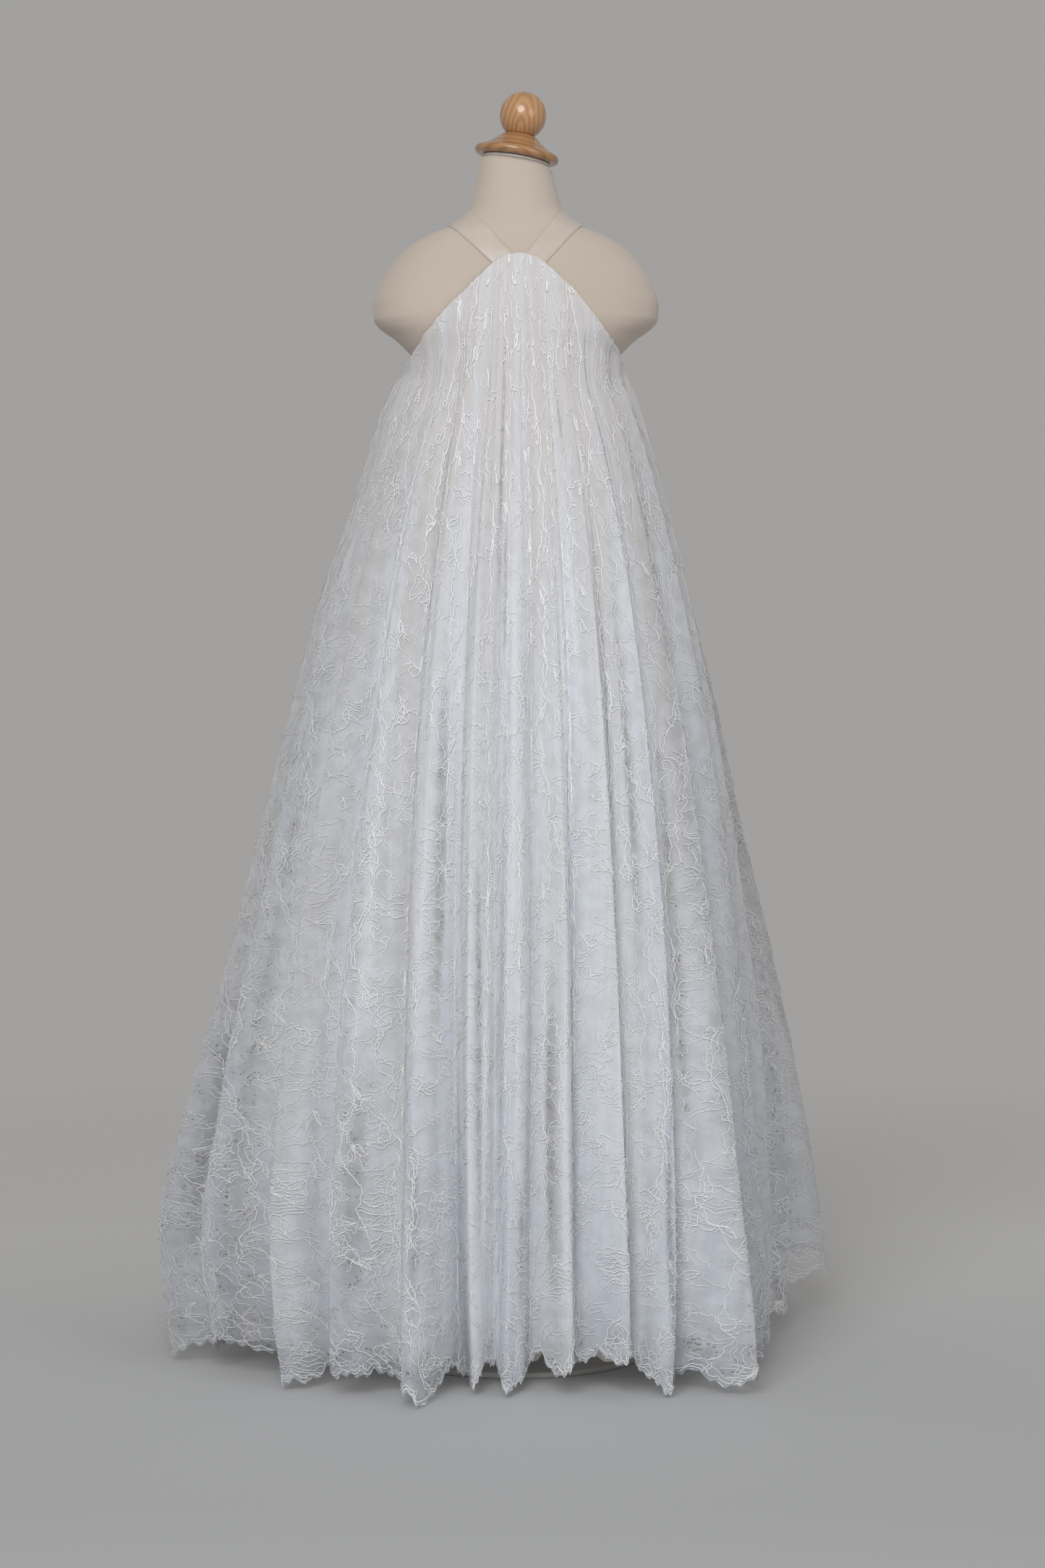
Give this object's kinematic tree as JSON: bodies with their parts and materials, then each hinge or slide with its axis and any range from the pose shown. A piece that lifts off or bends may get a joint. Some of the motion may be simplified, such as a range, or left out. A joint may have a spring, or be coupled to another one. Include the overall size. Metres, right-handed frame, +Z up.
{
  "type": "flower girl dress on a limbless child's dress form",
  "caption": "White lace halter flower girl dress, gathered to a front peak and full to the floor, on a cream child's dress form with a turned wooden neck cap.",
  "frame": {"origin": "centre of the underside of the stand's base, on the floor", "axes": "+Z up along the dress form, -Y towards the dress's front, +X to the right as seen from the front"},
  "size_m": [0.6981, 0.5762, 1.2901],
  "materials": {
    "lace": "cool white corded lace, matt net with a slight sheen on its cords",
    "ivory_lining": "soft ivory lining with a low sheen",
    "ivory_satin": "satin ribbon",
    "form_cover": "matt cream cover, tight and smooth",
    "plate_paint": "off-white, satin",
    "varnished_wood": "clear gloss varnish over light wood",
    "base_paint": "light grey paint, satin",
    "pole_steel": "satin"
  },
  "bodies": {
    "root": {"lace_front": "lace", "lace_back": "lace", "lining_front": "ivory_lining", "lining_back": "ivory_lining", "strap_left": "ivory_satin", "strap_right": "ivory_satin", "form_torso": "form_cover", "neck_plate": "plate_paint", "neck_cap": "varnished_wood", "neck_knob": "varnished_wood", "stand_pole": "pole_steel", "stand_base": "base_paint"}
  },
  "joints": []
}
